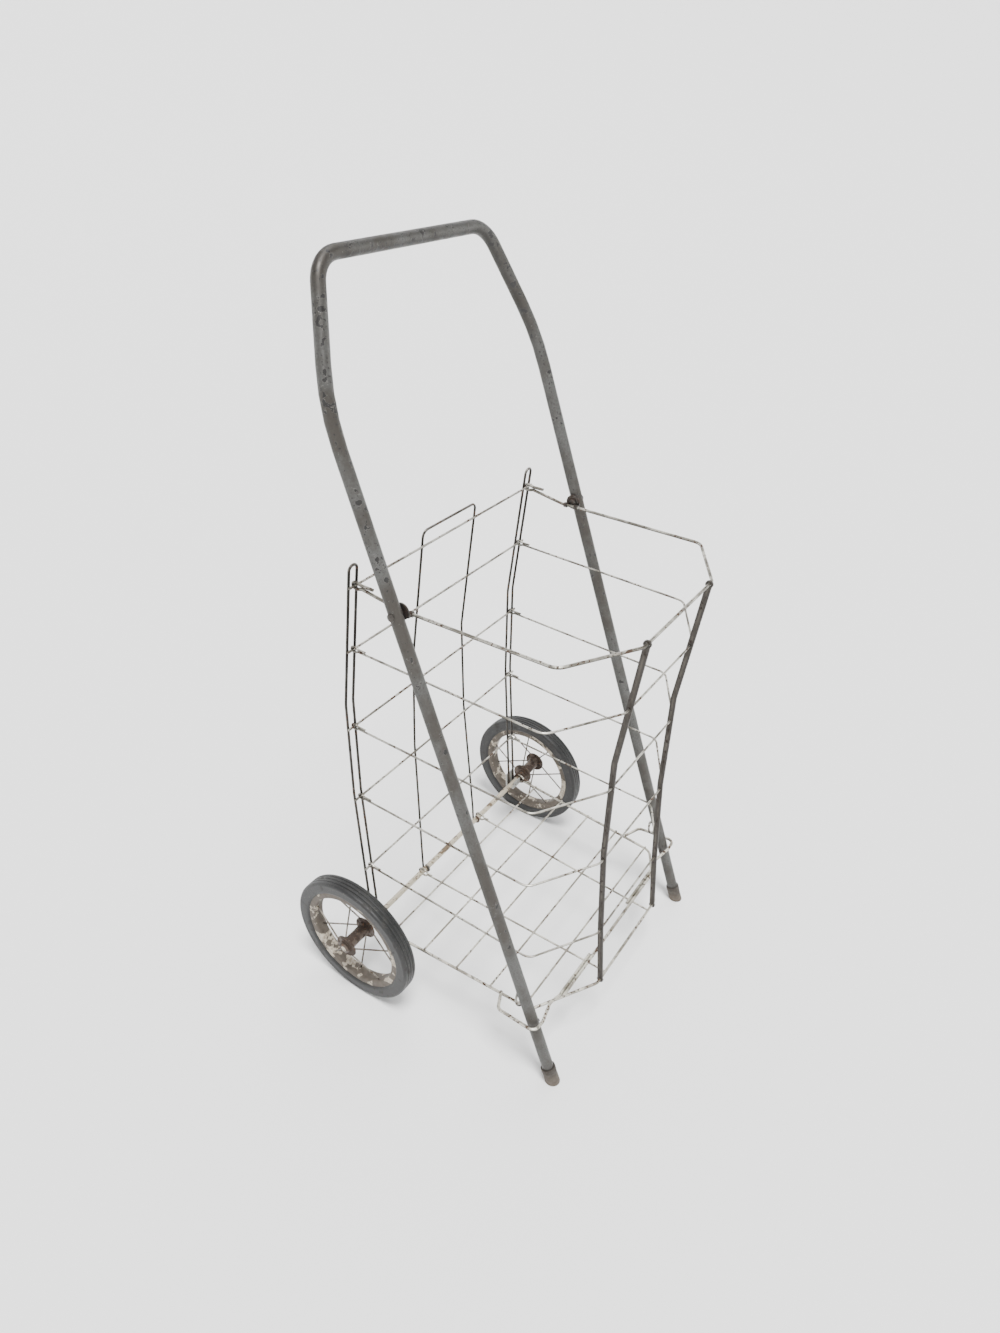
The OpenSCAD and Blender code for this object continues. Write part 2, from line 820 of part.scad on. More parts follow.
module hub_left() { hub(-1); }
module hub_right() { hub(1); }

// spool hub turning on the axle
module hub(side) {
    color([0.18, 0.14, 0.11])
        wheel_place(side)
            translate([0, 0, -hub_len / 2])
                difference() {
                    union() {
                        cylinder(h = hub_len, d = barrel_d);
                        for (z = [2, hub_len - 2 - flange_t])
                            translate([0, 0, z])
                                cylinder(h = flange_t, d = flange_d);
                    }
                    translate([0, 0, -1])
                        cylinder(h = hub_len + 2, d = axle_d + 2 * run_gap);
                }
}

module spokes_left() { spokes(-1); }
module spokes_right() { spokes(1); }

// straight wire spokes, laced in turn from the two flanges
module spokes(side) {
    flange_mid = hub_len / 2 - 2 - flange_t / 2;
    step = 360 / spoke_count;
    color([0.55, 0.52, 0.47])
        wheel_place(side)
            for (k = [0:spoke_count - 1])
                rotate([0, 0, k * step])
                    bar([flange_r - 0.3, 0, (k % 2 == 0 ? 1 : -1) * flange_mid],
                        [rim_in + 0.3, 0, (k % 2 == 0 ? 1 : -1) * 4], spoke_d);
}

handle_tube();
foot_cap_left();
foot_cap_right();
pivot_rivet_left();
pivot_rivet_right();
latch_coil_left();
latch_coil_right();
leg_stud_left();
leg_stud_right();
post_left();
post_right();
back_wire_1();
back_wire_2();
back_wire_3();
back_wire_4();
back_wire_5();
back_hoop();
axle();
axle_clip_left();
axle_clip_right();
axle_collar_left();
axle_collar_right();
axle_nut_left();
axle_nut_right();
top_ring();
pivot_clip_left();
pivot_clip_right();
ring_2();
ring_3();
ring_4();
ring_5();
front_strip_left();
front_strip_right();
bottom_frame();
bottom_wire_left();
bottom_wire_right();
cross_wire_1();
cross_wire_2();
cross_wire_3();
cross_wire_4();
cross_wire_5();
crossbar();
leg_guide_left();
leg_guide_right();
tyre_left();
tyre_right();
rim_left();
rim_right();
hub_left();
hub_right();
spokes_left();
spokes_right();
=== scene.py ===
import json
import math

import bpy
import numpy as np
from mathutils import Matrix, Vector


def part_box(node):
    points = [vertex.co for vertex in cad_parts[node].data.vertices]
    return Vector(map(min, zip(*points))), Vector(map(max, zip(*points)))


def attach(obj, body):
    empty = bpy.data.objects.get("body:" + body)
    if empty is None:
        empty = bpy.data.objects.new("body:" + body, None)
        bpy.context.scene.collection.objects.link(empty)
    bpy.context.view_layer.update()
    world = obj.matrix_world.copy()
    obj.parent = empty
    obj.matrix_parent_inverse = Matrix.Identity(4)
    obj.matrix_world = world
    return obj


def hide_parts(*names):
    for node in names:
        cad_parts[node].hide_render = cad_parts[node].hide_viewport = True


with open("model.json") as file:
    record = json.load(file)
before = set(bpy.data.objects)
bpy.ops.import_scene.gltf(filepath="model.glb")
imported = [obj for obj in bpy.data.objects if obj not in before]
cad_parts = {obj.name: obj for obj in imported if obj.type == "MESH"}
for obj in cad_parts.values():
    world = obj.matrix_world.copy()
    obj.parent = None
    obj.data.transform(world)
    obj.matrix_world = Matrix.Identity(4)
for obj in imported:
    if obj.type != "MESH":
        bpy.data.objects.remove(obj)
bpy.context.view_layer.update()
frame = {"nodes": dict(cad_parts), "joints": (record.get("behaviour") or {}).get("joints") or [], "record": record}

joints = {j["name"]: j for j in frame["joints"]}
mounts = {m["name"]: np.array(m["pos_m"]) for m in frame["record"]["mounts"]}


# ---- handle tube ----
# One thin steel tube, dark grey satin paint over black primer, bent into a long U.
# It stands on two rubber feet and hangs on the top ring by one rivet in each leg.

def walk(points, radii, step=0.004):
    """Centre line of a bent bar: straight runs joined by circular arcs.
    On an arc the point is centre - R n cos(t) + R u sin(t), with u the direction
    of arrival and n the unit vector across it towards the centre."""
    p = np.array(points, float)
    out, at = [p[0]], p[0]
    for i, r in enumerate(radii, 1):
        u = (p[i] - p[i - 1]) / np.linalg.norm(p[i] - p[i - 1])
        v = (p[i + 1] - p[i]) / np.linalg.norm(p[i + 1] - p[i])
        turn = math.acos(max(-1.0, min(1.0, float(u @ v))))
        start = p[i] - u * r * math.tan(turn / 2)
        n = v - (v @ u) * u
        n /= np.linalg.norm(n)
        count = max(1, int(np.linalg.norm(start - at) / step))
        out += [at + (start - at) * k / count for k in range(1, count)]
        t = np.linspace(0, turn, max(4, int(turn / 0.13)))[:, None]
        out += list(start + r * n - r * n * np.cos(t) + r * u * np.sin(t))
        at = out[-1]
    count = max(1, int(np.linalg.norm(p[-1] - at) / step))
    out += [at + (p[-1] - at) * k / count for k in range(1, count + 1)]
    out = np.array(out)
    keep = np.r_[True, np.linalg.norm(np.diff(out, axis=0), axis=1) > 1e-6]
    return out[keep]


def carry(path, radius, sides=14, swells=(), wobble=0.0, seed=0, round_end=True):
    """A round section carried along a path without twist: each ring of vertices is
    path + r(s) (a cos(t) + b sin(t)), where a and b are the first ring's pair carried
    from tangent to tangent. r(s) is the radius, raised by a bell of the given height
    and width at each swell and lowered by a slow wobble. Returns vertices, quads, uv."""
    d = np.gradient(path, axis=0)
    d /= np.linalg.norm(d, axis=1)[:, None]
    a = np.cross(d[0], [0.31, 0.17, 0.93])
    a /= np.linalg.norm(a)
    firsts = [a]
    for k in range(1, len(path)):
        a = firsts[-1] - (firsts[-1] @ d[k]) * d[k]
        firsts.append(a / np.linalg.norm(a))
    a = np.array(firsts)
    b = np.cross(d, a)
    s = np.r_[0, np.cumsum(np.linalg.norm(np.diff(path, axis=0), axis=1))]
    r = np.full(len(s), radius)
    if wobble:
        waves = np.random.default_rng(seed).uniform(0, 6.28, 4)
        r -= wobble * (0.5 + 0.125 * sum(np.sin(s * f + w) for f, w in zip((83, 140, 231, 390), waves)))
    for at, height, width in swells:
        r += height * np.exp(-(((s - at) / width) ** 2))
    if round_end:
        t = np.linspace(0, math.pi / 2, 5)[:-1]
        bevel = min(radius, 0.0012)
        cut = bevel * (1 - np.cos(t[::-1]))
        ring_r = (radius - bevel) + bevel * np.sin(t)
        head = path[0] + np.outer(cut, d[0])
        tail = (path[-1] - np.outer(cut, d[-1]))[::-1]
        inner = (s > bevel * 1.05) & (s < s[-1] - bevel * 1.05)
        path = np.vstack([head, path[inner], tail])
        a = np.vstack([np.repeat(a[:1], len(t), 0), a[inner], np.repeat(a[-1:], len(t), 0)])
        b = np.vstack([np.repeat(b[:1], len(t), 0), b[inner], np.repeat(b[-1:], len(t), 0)])
        r = np.r_[ring_r * r[0] / radius, r[inner], ring_r[::-1] * r[-1] / radius]
        s = np.r_[cut, s[inner], s[-1] - cut[::-1]]
    t = np.arange(sides + 1) * 2 * math.pi / sides
    around = a[:, None] * np.cos(t)[:-1, None] + b[:, None] * np.sin(t)[:-1, None]
    verts = path[:, None] + r[:, None, None] * around
    m, n = len(path), sides
    i, j = np.meshgrid(np.arange(m - 1), np.arange(n), indexing="ij")
    i, j = i.ravel(), j.ravel()
    k = (j + 1) % n
    quads = np.stack([i * n + j, i * n + k, (i + 1) * n + k, (i + 1) * n + j], 1)
    uv = np.stack([
        np.stack([s[i], j / n], 1), np.stack([s[i], (j + 1) / n], 1),
        np.stack([s[i + 1], (j + 1) / n], 1), np.stack([s[i + 1], j / n], 1)], 1)
    ends = [list(range(n))[::-1], list(range((m - 1) * n, m * n))]
    return verts.reshape(-1, 3), quads, uv, ends


def spin(profile, centre, axis, sides=64, closed=False):
    """A profile of (along, radius) turned about an axis: vertex = centre +
    along * axis + radius (e cos(t) + f sin(t)). Returns vertices, quads, uv."""
    p = np.array(profile, float)
    w = np.array(axis, float)
    w /= np.linalg.norm(w)
    e = np.cross(w, [0, 0, 1]) if abs(w[2]) < 0.9 else np.cross(w, [1, 0, 0])
    e /= np.linalg.norm(e)
    f = np.cross(w, e)
    t = np.arange(sides) * 2 * math.pi / sides
    ring = e * np.cos(t)[:, None] + f * np.sin(t)[:, None]
    verts = np.array(centre) + p[:, None, :1] * w + p[:, None, 1:] * ring
    m, n = len(p), sides
    i, j = np.meshgrid(np.arange(m if closed else m - 1), np.arange(n), indexing="ij")
    i, j = i.ravel(), j.ravel()
    k, up = (j + 1) % n, (i + 1) % m
    s = np.r_[0, np.cumsum(np.linalg.norm(np.diff(np.vstack([p, p[:1]]), axis=0), axis=1))]
    quads = np.stack([i * n + j, i * n + k, up * n + k, up * n + j], 1)
    uv = np.stack([
        np.stack([j / n, s[i]], 1), np.stack([(j + 1) / n, s[i]], 1),
        np.stack([(j + 1) / n, s[i + 1]], 1), np.stack([j / n, s[i + 1]], 1)], 1)
    ends = [] if closed else [list(range(n))[::-1], list(range((m - 1) * n, m * n))]
    return verts.reshape(-1, 3), quads, uv, ends


def piece(name, parts, material, body, slot, *nodes, sharp=40):
    """One object from several (vertices, quads, uv, end faces) surfaces. It stands
    for the CAD nodes named and rides on their body. The layer "above" holds how far
    each corner faces up, so that painted shade can darken the undersides."""
    verts, faces, uvs, base = [], [], [], 0
    for v, q, uv, ends in parts:
        verts.append(v)
        faces += (q + base).tolist() + [[k + base for k in e] for e in ends]
        uvs += [uv.reshape(-1, 2)] + [np.zeros((len(e), 2)) for e in ends]
        base += len(v)
    mesh = bpy.data.meshes.new(name)
    mesh.from_pydata(np.vstack(verts).tolist(), [], faces)
    layer = mesh.uv_layers.new(name="along")
    layer.data.foreach_set("uv", np.vstack(uvs).astype(np.float32).ravel())
    up = np.array([v.vector.z for v in mesh.vertex_normals])
    corner = np.empty(len(mesh.loops), np.int32)
    mesh.loops.foreach_get("vertex_index", corner)
    above = mesh.uv_layers.new(name="above")
    above.data.foreach_set("uv", np.stack([up[corner], up[corner]], 1).astype(np.float32).ravel())
    mesh.materials.append(material)
    mesh.shade_smooth()
    mesh.set_sharp_from_angle(angle=math.radians(sharp))
    obj = bpy.data.objects.new(name, mesh)
    bpy.context.scene.collection.objects.link(obj)
    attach(obj, body)
    if nodes:
        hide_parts(*nodes)
    return obj


class Finish:
    """A material built up as layers: each call adds nodes and returns a socket."""

    def __init__(self, name):
        self.material = bpy.data.materials.new(name)
        self.material.use_nodes = True
        self.tree = self.material.node_tree
        self.skin = self.tree.nodes["Principled BSDF"]
        self.place = self.tree.nodes.new("ShaderNodeTexCoord")

    def add(self, kind, **values):
        n = self.tree.nodes.new(kind)
        for key, value in values.items():
            setattr(n, key, value)
        return n

    def wire(self, value, socket):
        if isinstance(value, (int, float, tuple)):
            socket.default_value = (*value, 1) if isinstance(value, tuple) and len(value) == 3 else value
        else:
            self.tree.links.new(value, socket)

    def noise(self, scale, detail=4.0, rough=0.55, shift=0.0, squash=None):
        at = self.place.outputs["Object"]
        if shift or squash:
            m = self.add("ShaderNodeMapping")
            m.inputs["Location"].default_value = (shift, shift * 0.7, -shift)
            if squash:
                m.inputs["Scale"].default_value = squash
            self.wire(at, m.inputs["Vector"])
            at = m.outputs[0]
        n = self.add("ShaderNodeTexNoise")
        self.wire(at, n.inputs["Vector"])
        n.inputs["Scale"].default_value = scale
        n.inputs["Detail"].default_value = detail
        n.inputs["Roughness"].default_value = rough
        return n.outputs["Fac"]

    def between(self, value, low, high, to_low=0.0, to_high=1.0, smooth=True):
        n = self.add("ShaderNodeMapRange", interpolation_type="SMOOTHSTEP" if smooth else "LINEAR")
        self.wire(value, n.inputs["Value"])
        for key, v in (("From Min", low), ("From Max", high), ("To Min", to_low), ("To Max", to_high)):
            self.wire(v, n.inputs[key])
        return n.outputs["Result"]

    def sum(self, a, b, operation="ADD"):
        n = self.add("ShaderNodeMath", operation=operation)
        self.wire(a, n.inputs[0])
        self.wire(b, n.inputs[1])
        return n.outputs[0]

    def mix(self, share, a, b):
        n = self.add("ShaderNodeMix", data_type="RGBA")
        self.wire(share, n.inputs[0])
        self.wire(a, n.inputs[6])
        self.wire(b, n.inputs[7])
        return n.outputs[2]

    def axis(self, letter):
        n = self.add("ShaderNodeSeparateXYZ")
        self.wire(self.place.outputs["Object"], n.inputs[0])
        return n.outputs[letter]

    def above(self):
        n = self.add("ShaderNodeUVMap", uv_map="above")
        x = self.add("ShaderNodeSeparateXYZ")
        self.wire(n.outputs[0], x.inputs[0])
        return x.outputs["X"]

    def relief(self, height, depth, strength=1.0):
        n = self.add("ShaderNodeBump")
        n.inputs["Distance"].default_value = depth
        n.inputs["Strength"].default_value = strength
        self.wire(height, n.inputs["Height"])
        self.wire(n.outputs[0], self.skin.inputs["Normal"])

    def set(self, **values):
        for key, value in values.items():
            self.wire(value, self.skin.inputs[key.replace("_", " ").title()])
        return self.material


def tube_paint():
    """Dark grey satin paint: grey and brown-grey clouds, fine rub marks, painted shade
    on the underside, and chips down to black primer that grow thicker towards the bar."""
    m = Finish("tube_paint")
    clouds = m.between(m.noise(14, 5), 0.38, 0.62)
    paint = m.mix(clouds, (0.088, 0.088, 0.084), (0.050, 0.045, 0.039))
    fine = m.between(m.noise(420, 3), 0.35, 0.7)
    paint = m.mix(m.sum(fine, 0.4, "MULTIPLY"), paint, (0.040, 0.036, 0.031))
    high = m.between(m.axis("Z"), 0.45, 0.98, 0.66, 0.60, False)
    spots = m.noise(95, 3, 0.5, 3.0)
    chip = m.between(spots, high, m.sum(high, 0.012))
    specks = m.noise(330, 2, 0.5, 7.0)
    speck = m.between(specks, m.sum(high, 0.02), m.sum(high, 0.035))
    worn = m.sum(chip, speck, "MAXIMUM")
    edge = m.between(spots, m.sum(high, -0.012), high)
    pale = m.sum(m.sum(edge, worn, "SUBTRACT"), 0.4, "MULTIPLY")
    paint = m.mix(pale, paint, (0.20, 0.19, 0.175))
    # painted shade: the undersides of the tube darken towards near black
    paint = m.mix(m.between(m.above(), -0.5, 0.25, 0.75, 0.0), paint, (0.020, 0.018, 0.015))
    color = m.mix(worn, paint, (0.008, 0.007, 0.006))
    m.relief(m.sum(m.sum(m.noise(160, 3), 0.06, "MULTIPLY"), worn, "SUBTRACT"), 0.00025, 0.7)
    return m.set(base_color=color, metallic=m.sum(0.55, m.sum(worn, 0.5, "MULTIPLY"), "SUBTRACT"),
                 roughness=m.between(m.noise(60, 4, 0.6, 5.0), 0.3, 0.7, 0.36, 0.56))


paint = tube_paint()
tube_lo, tube_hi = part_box("handle_tube")
tube_r = 0.008
leg_x = tube_hi.x - tube_r
foot, pivot = mounts["ground_right"], np.array(joints["leg_pivot"]["pos_m"])
slope = (pivot[1] - foot[1]) / pivot[2]


def on_leg(x, z):
    """The point of a leg's centre line at height z."""
    return [x, foot[1] + z * slope, z]


taper_z, bar_x, bar_z = 0.849, 0.141, tube_hi.z - tube_r
taper_bend, bar_bend = 0.225, 0.038
side = [on_leg(leg_x, tube_lo.z + 0.002), on_leg(leg_x, taper_z), on_leg(bar_x, bar_z)]
tube_path = walk(side + [[-x, y, z] for x, y, z in side[::-1]], [taper_bend, bar_bend, bar_bend, taper_bend])
piece("handle_tube_painted", [carry(tube_path, tube_r, 40, wobble=0.0001, seed=1)], paint,
      "handle_frame", "tube_paint", "handle_tube")


# ---- rubber feet ----
# A thick black rubber cup pushed on each leg and cut level where it stands.
# Scuffed brown-grey by the ground, with a raised band round its mouth.

def foot_rubber():
    """Old black rubber: brown dust low down, dull sheen above, fine grain."""
    m = Finish("foot_rubber")
    height = m.sum(m.axis("Z"), m.sum(m.noise(120, 4), 0.02, "MULTIPLY"), "SUBTRACT")
    dust = m.between(height, -0.012, 0.016, 1.0, 0.0)
    color = m.mix(m.sum(dust, 0.6, "MULTIPLY"), (0.028, 0.022, 0.017), (0.13, 0.105, 0.08))
    m.relief(m.noise(900, 3), 0.00015, 0.5)
    return m.set(base_color=color, roughness=m.between(m.noise(200), 0.3, 0.7, 0.6, 0.85))


rubber = foot_rubber()
leg_dir = np.array([0, slope, 1]) / math.hypot(slope, 1)
for name in ("left", "right"):
    lo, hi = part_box("foot_cap_" + name)
    cap_r, cap_top = (hi.x - lo.x) / 2, 0.0335
    base = mounts["ground_" + name]
    ex, ey = np.array([1.0, 0, 0]), np.cross(leg_dir, [1.0, 0, 0])
    t = np.arange(40) * 2 * math.pi / 40
    rows = [(0.0, 0.0), (0.6, 0.0), (0.93, 0.0), (1.0, 0.03), (0.985, 0.10), (0.97, 0.5), (0.965, 0.70),
            (0.985, 0.72), (1.0, 0.76), (1.0, 0.93), (0.985, 0.985), (0.93, 1.0), (0.83, 1.0)]
    verts = []
    for r, f in rows:
        out = cap_r * r * (ex * np.cos(t)[:, None] + ey * np.sin(t)[:, None])
        cut = -out[:, 2:] / leg_dir[2]
        level = base + out + cut * leg_dir
        top = base + out + (cap_top - 0.0085) * leg_dir
        verts.append(level * (1 - f) + top * f)
    verts = np.array(verts)
    m, n = len(rows), 40
    i, j = [g.ravel() for g in np.meshgrid(np.arange(m - 1), np.arange(n), indexing="ij")]
    k = (j + 1) % n
    quads = np.stack([i * n + j, i * n + k, (i + 1) * n + k, (i + 1) * n + j], 1)
    piece("rubber_foot_" + name, [(verts.reshape(-1, 3), quads, np.zeros((len(quads), 4, 2)), [])], rubber,
          "handle_frame", "foot_rubber", "foot_cap_" + name)


# ---- pivots of the legs ----
# A steel rivet through each leg turns in a sheet clip sleeved on the wire of the top ring.
# Dull dark steel, brown in the corners; a headed stud sits lower on the inside of the leg.

def dark_steel():
    """Tarnished steel: dark grey-brown with rust in fine patches."""
    m = Finish("dark_steel")
    rust = m.between(m.noise(150, 5, 0.6), 0.48, 0.6)
    color = m.mix(rust, (0.055, 0.050, 0.045), (0.030, 0.018, 0.012))
    m.relief(m.noise(700, 4), 0.0002, 0.6)
    return m.set(base_color=color, metallic=m.between(rust, 0, 1, 0.8, 0.1),
                 roughness=m.between(rust, 0, 1, 0.42, 0.8))


steel = dark_steel()
for name, sx in (("left", -1), ("right", 1)):
    lo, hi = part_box("pivot_rivet_" + name)
    inner, outer = (lo.x, hi.x) if sx > 0 else (hi.x, lo.x)
    span = abs(outer - inner)
    head, shank = (hi.y - lo.y) / 2, 0.003
    profile = [(0, 0.0002), (0, head * 0.8), (0.0005, head), (0.0013, head),
               (0.0014, shank), (span - 0.0022, shank),
               (span - 0.0021, head), (span - 0.0014, head * 0.97), (span - 0.0006, head * 0.75),
               (span - 0.0001, head * 0.4), (span, 0.0002)]
    piece("leg_rivet_" + name, [spin(profile, [inner, pivot[1], pivot[2]], [sx, 0, 0], 32)], steel,
          "handle_frame", "dark_steel", "pivot_rivet_" + name)
    lo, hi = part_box("leg_stud_" + name)
    inner, outer = (lo.x, hi.x) if sx > 0 else (hi.x, lo.x)
    mid, r = (lo + hi) / 2, (hi.z - lo.z) / 2
    span = abs(outer - inner)
    profile = [(0, 0.0002), (0.0001, r * 0.5), (0.0006, r * 0.9), (0.0010, r),
               (0.0015, r), (0.0016, 0.002), (span, 0.002)]
    piece("stud_" + name, [spin(profile, [inner, mid.y, mid.z], [sx, 0, 0], 28)], steel,
          "handle_frame", "dark_steel", "leg_stud_" + name)
    clip = frame["nodes"]["pivot_clip_" + name]
    clip.data.materials.clear()
    clip.data.materials.append(steel)


# ---- coils behind the legs ----
# Two close turns of plated spring wire behind each leg, with a short arm to the tube.
# They keep the leg in its guide when the basket is folded.

def plated_wire(name, bright, dull, rust_share, shift=0.0):
    """Zinc-plated wire: bright and dull clouds, grime in streaks, painted shade that darkens
    the undersides, dark rust in small clustered spots. rust_share is the share of the noise above which rust
    shows."""
    m = Finish(name)
    color = m.mix(m.between(m.noise(35, 4, 0.55, shift), 0.4, 0.62), bright, dull)
    grime = m.between(m.noise(120, 4, 0.6, shift + 2), 0.55, 0.68)
    color = m.mix(m.sum(grime, 0.75, "MULTIPLY"), color, tuple(c * 0.35 for c in dull))
    # painted shade: the undersides of the wire darken towards near black
    painted_underside_shade = m.between(m.above(), -0.15, 0.45, 0.92, 0.0)
    color = m.mix(painted_underside_shade, color, tuple(c * 0.12 for c in dull))
    cluster = m.between(m.noise(22, 3, 0.5, shift + 4), 0.35, 0.65,
                        rust_share + 0.10, rust_share - 0.05, False)
    spots = m.noise(210, 3, 0.5, shift + 6)
    rust = m.between(spots, cluster, m.sum(cluster, 0.03))
    color = m.mix(rust, color, m.mix(m.noise(500), (0.020, 0.012, 0.008), (0.075, 0.038, 0.018)))
    m.relief(m.sum(m.sum(m.noise(800, 3), 0.25, "MULTIPLY"), rust), 0.00018, 0.7)
    rough = m.between(m.noise(90, 3, 0.5, shift + 8), 0.3, 0.7, 0.26, 0.46)
    return m.set(base_color=color, metallic=m.between(rust, 0, 1, 0.92, 0.0),
                 roughness=m.sum(rough, m.sum(rust, 0.4, "MULTIPLY")))


coil_wire = plated_wire("coil_wire", (0.50, 0.49, 0.45), (0.27, 0.25, 0.22), 0.60)
coil_z, backward = 0.130, np.cross(leg_dir, [1.0, 0, 0])
for name, sx in (("left", -1), ("right", 1)):
    lo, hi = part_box("latch_coil_" + name)
    r = 0.0011
    big = (hi.x - lo.x) / 2 - r - 0.00005
    start = tube_r + r + 0.0003
    centre = np.array(on_leg(sx * (leg_x - 0.002), coil_z))
    t = np.linspace(math.pi / 2 - 0.35, math.pi / 2 + 4 * math.pi + 0.35, 90)[:, None]
    y = start + 2 * r * (t - t[0]) / (t[-1] - t[0])
    turns = centre + y * backward + big * (np.cos(t) * [1.0, 0, 0] + np.sin(t) * leg_dir)
    y = np.linspace(tube_r - 0.0002, start + 2 * r, 6)[:, None]
    arm = centre + y * backward + big * leg_dir
    piece("spring_coil_" + name, [carry(turns, r, 14), carry(arm, r, 14)], coil_wire,
          "handle_frame", "coil_wire", "latch_coil_" + name)


# ---- rear frame ----
# Two twin posts, each one wire doubled over, and a tall hoop between them, all dull
# grey-brown zinc. Five level wires welded in front of them carry the ring eyes.

post_wire = plated_wire("post_wire", (0.16, 0.15, 0.135), (0.07, 0.062, 0.053), 0.58, 11)
ring_wire = plated_wire("ring_wire", (0.56, 0.54, 0.48), (0.20, 0.185, 0.155), 0.57, 21)
axle_lo, axle_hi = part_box("axle")
axle_y, axle_z, axle_r = (axle_lo.y + axle_hi.y) / 2, (axle_lo.z + axle_hi.z) / 2, (axle_hi.z - axle_lo.z) / 2
belly_low, belly_high = 0.330, 0.475
level_r, weld, back_bend = 0.0015, 0.00015, 0.06
hoop_foot_x, hoop_top_x, hoop_bend = 0.066, 0.054, 0.009
twin_in, twin_out, bead, bead_len = 0.172, 0.185, 0.0003, 0.0022
back = []
for k in range(1, 6):
    lo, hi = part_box("back_wire_%d" % k)
    back.append((lo + hi) / 2)
    r = (hi.z - lo.z) / 2
    path = np.linspace([lo.x, back[-1].y, back[-1].z], [hi.x, back[-1].y, back[-1].z], 120)
    half = (hi.x - lo.x) / 2
    share = min(1.0, (back[-1].z - axle_z) / (belly_high - axle_z))
    hoop_at = hoop_foot_x - (hoop_foot_x - hoop_top_x) * share
    crossings = (-twin_out, -twin_in, -hoop_at, hoop_at, twin_in, twin_out)
    welds = [(half + x, bead, bead_len) for x in crossings]
    piece("level_wire_%d" % k, [carry(path, r, 14, welds, 0.00008, 30 + k)], ring_wire,
          "rear_frame", "ring_wire", "back_wire_%d" % k)
rise = (back[2].y - back[4].y) / (belly_low - back[4].z)
lean = (back[0].y - back[1].y) / (back[0].z - back[1].z)
for name in ("left", "right"):
    lo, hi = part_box("post_" + name)
    r = 0.0018
    gap = (hi.x - lo.x) - 2 * r
    x0, x1 = lo.x + r, hi.x - r
    step = level_r + r - weld
    top = hi.z - r
    up = [(axle_y + axle_r + r - weld, lo.z + 0.0001), (back[2].y + step, belly_low),
          (back[2].y + step, belly_high), (back[0].y + step + (top - back[0].z) * lean, top)]
    points = [[x0, y, z] for y, z in up] + [[x1, y, z] for y, z in up[::-1]]
    bends = [back_bend, back_bend, gap / 2 - 1e-5]
    path = walk(points, bends + bends[::-1])
    piece("twin_post_" + name, [carry(path, r, 16, wobble=0.0001, seed=5)], post_wire,
          "rear_frame", "post_wire", "post_" + name)
lo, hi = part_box("back_hoop")
r = 0.0016
step, wrap = level_r + r - weld, axle_r + r + 0.0001
top, begin = hi.z - r, axle_z + 4 * wrap
low_x = hoop_foot_x - (hoop_foot_x - hoop_top_x) * (belly_low - axle_z) / (belly_high - axle_z)
side = [[hoop_foot_x, axle_y + 0.001, axle_z + wrap],
        [hoop_foot_x, axle_y - wrap, axle_z + wrap],
        [hoop_foot_x, axle_y - wrap, axle_z - wrap],
        [hoop_foot_x, axle_y + wrap, axle_z - wrap],
        [hoop_foot_x, back[4].y + step + (begin - back[4].z) * rise, begin],
        [low_x, back[2].y + step, belly_low],
        [hoop_top_x, back[2].y + step, belly_high],
        [hoop_top_x, back[0].y + step + (top - back[0].z) * lean, top]]
bends = [wrap, wrap, wrap, 0.03, back_bend, back_bend, hoop_bend]
path = walk(side + [[-x, y, z] for x, y, z in side[::-1]], bends + bends[::-1])
piece("hoop", [carry(path, r, 16, wobble=0.00008, seed=6)], post_wire, "rear_frame", "post_wire", "back_hoop")


# ---- axle and its fittings ----
# A plated steel rod held under the twin posts by two folded zinc troughs.
# Rusty collars space the wheels and pressed caps keep them on.

def old_plate(name, base, dark, spots_color, cover):
    """Aged plating: pale film broken by brown spots; cover sets how much is left."""
    m = Finish(name)
    film = m.between(m.noise(70, 5, 0.6), cover, cover + 0.10)
    spot = m.between(m.noise(260, 3, 0.5, 4.0), 0.62, 0.66)
    color = m.mix(m.sum(spot, 0.9, "MULTIPLY"), m.mix(film, base, dark), spots_color)
    m.relief(m.sum(m.noise(500, 4), spot), 0.0002, 0.5)
    return m.set(base_color=color, metallic=m.between(film, 0, 1, 0.45, 0.3),
                 roughness=m.between(film, 0, 1, 0.42, 0.75))


